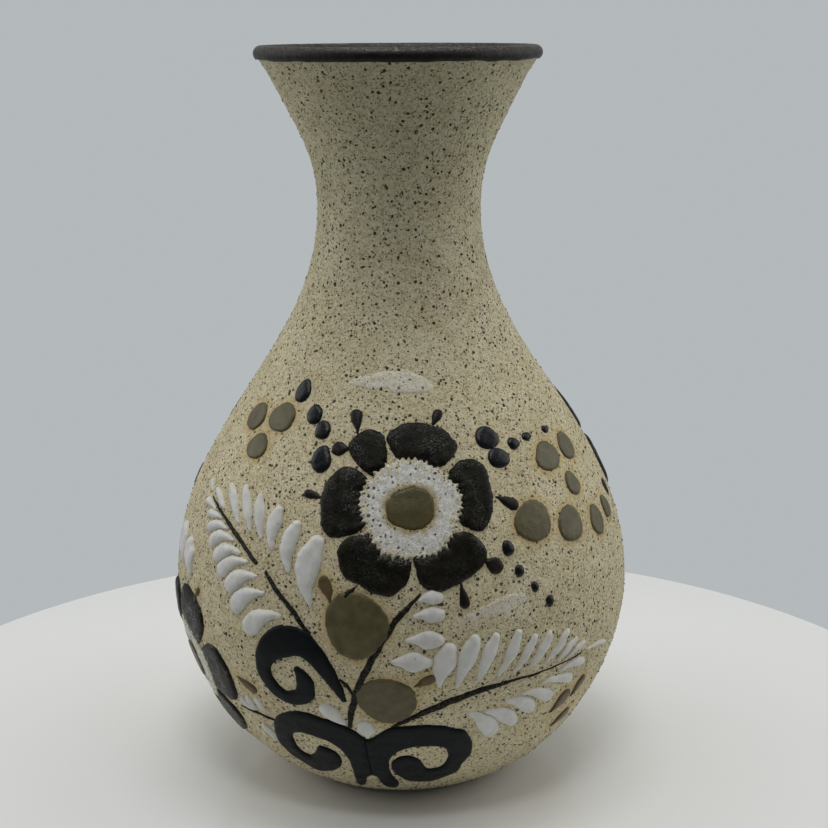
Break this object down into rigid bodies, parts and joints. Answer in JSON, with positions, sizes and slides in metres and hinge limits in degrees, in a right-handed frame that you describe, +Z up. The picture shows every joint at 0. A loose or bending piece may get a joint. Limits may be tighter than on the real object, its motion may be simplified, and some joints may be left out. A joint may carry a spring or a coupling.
{
  "type": "pottery vase",
  "caption": "Bottle-shaped stoneware vase with flared mouth, dark glazed lip and raised slip flowers, ferns and scrolls in black, white and olive.",
  "frame": {"origin": "centre of the foot ring, in the plane the vase stands on", "axes": "+Z up along the vase's axis through the mouth; -Y is the decorated front; +X to the right seen from the front"},
  "size_m": [0.1267, 0.1277, 0.2],
  "materials": {
    "clay": "matt sand-textured cream stoneware with dark specks",
    "rim_glaze": "dark bronze-brown metallic glaze, satin",
    "inner_glaze": "dark brown glaze, glossy",
    "petal_slip": "raised brown-black slip, satin with fine glints",
    "collar_slip": "white stippled slip, matt",
    "centre_slip": "olive-brown slip, satin",
    "scroll_slip": "raised blue-black slip, satin",
    "drop_slip": "dark red-brown slip, satin",
    "white_slip": "raised white slip, eggshell",
    "stem_slip": "thin black slip line, dry",
    "olive_drop_slip": "olive-brown slip, satin",
    "olive_slip": "olive-grey slip, satin",
    "dot_slip": "blue-black slip, satin",
    "thin_film": "thin wiped pale glaze film"
  },
  "bodies": {
    "root": {"clay_body": "clay", "rim_glaze": "rim_glaze", "inner_glaze": "inner_glaze", "front_petal_top": "petal_slip", "front_petal_right": "petal_slip", "front_petal_lower_right": "petal_slip", "front_petal_lower_left": "petal_slip", "front_petal_left": "petal_slip", "front_petal_upper_left": "petal_slip", "front_collar": "collar_slip", "front_centre": "centre_slip", "front_drops": "drop_slip", "left_petal_1": "petal_slip", "left_petal_2": "petal_slip", "left_petal_3": "petal_slip", "left_petal_4": "petal_slip", "left_petal_5": "petal_slip", "left_petal_6": "petal_slip", "left_collar": "collar_slip", "left_centre": "centre_slip", "right_petal_1": "petal_slip", "right_petal_2": "petal_slip", "right_petal_3": "petal_slip", "right_petal_4": "petal_slip", "right_petal_5": "petal_slip", "right_petal_6": "petal_slip", "right_collar": "collar_slip", "right_centre": "centre_slip", "back_petal_1": "petal_slip", "back_petal_2": "petal_slip", "back_petal_3": "petal_slip", "back_petal_4": "petal_slip", "back_petal_5": "petal_slip", "back_petal_6": "petal_slip", "back_collar": "collar_slip", "back_centre": "centre_slip", "outer_drops": "drop_slip", "left_fern_stem": "stem_slip", "left_fern_leaflets": "white_slip", "right_fern_stem": "stem_slip", "right_fern_leaflets": "white_slip", "flower_stem": "stem_slip", "flower_stem_leaflets": "white_slip", "upper_scroll": "scroll_slip", "lower_left_scroll": "scroll_slip", "lower_right_scroll": "scroll_slip", "olive_discs": "olive_slip", "olive_dots": "olive_slip", "olive_drops": "olive_drop_slip", "black_dots": "dot_slip", "white_drops": "white_slip", "glaze_films": "thin_film", "right_stem": "stem_slip", "right_stem_leaflets": "white_slip", "back_stems": "stem_slip", "back_leaflets": "white_slip", "back_left_scroll": "scroll_slip", "back_right_scroll": "scroll_slip", "back_olive_dots": "olive_slip", "back_black_dots": "dot_slip"}
  },
  "joints": []
}
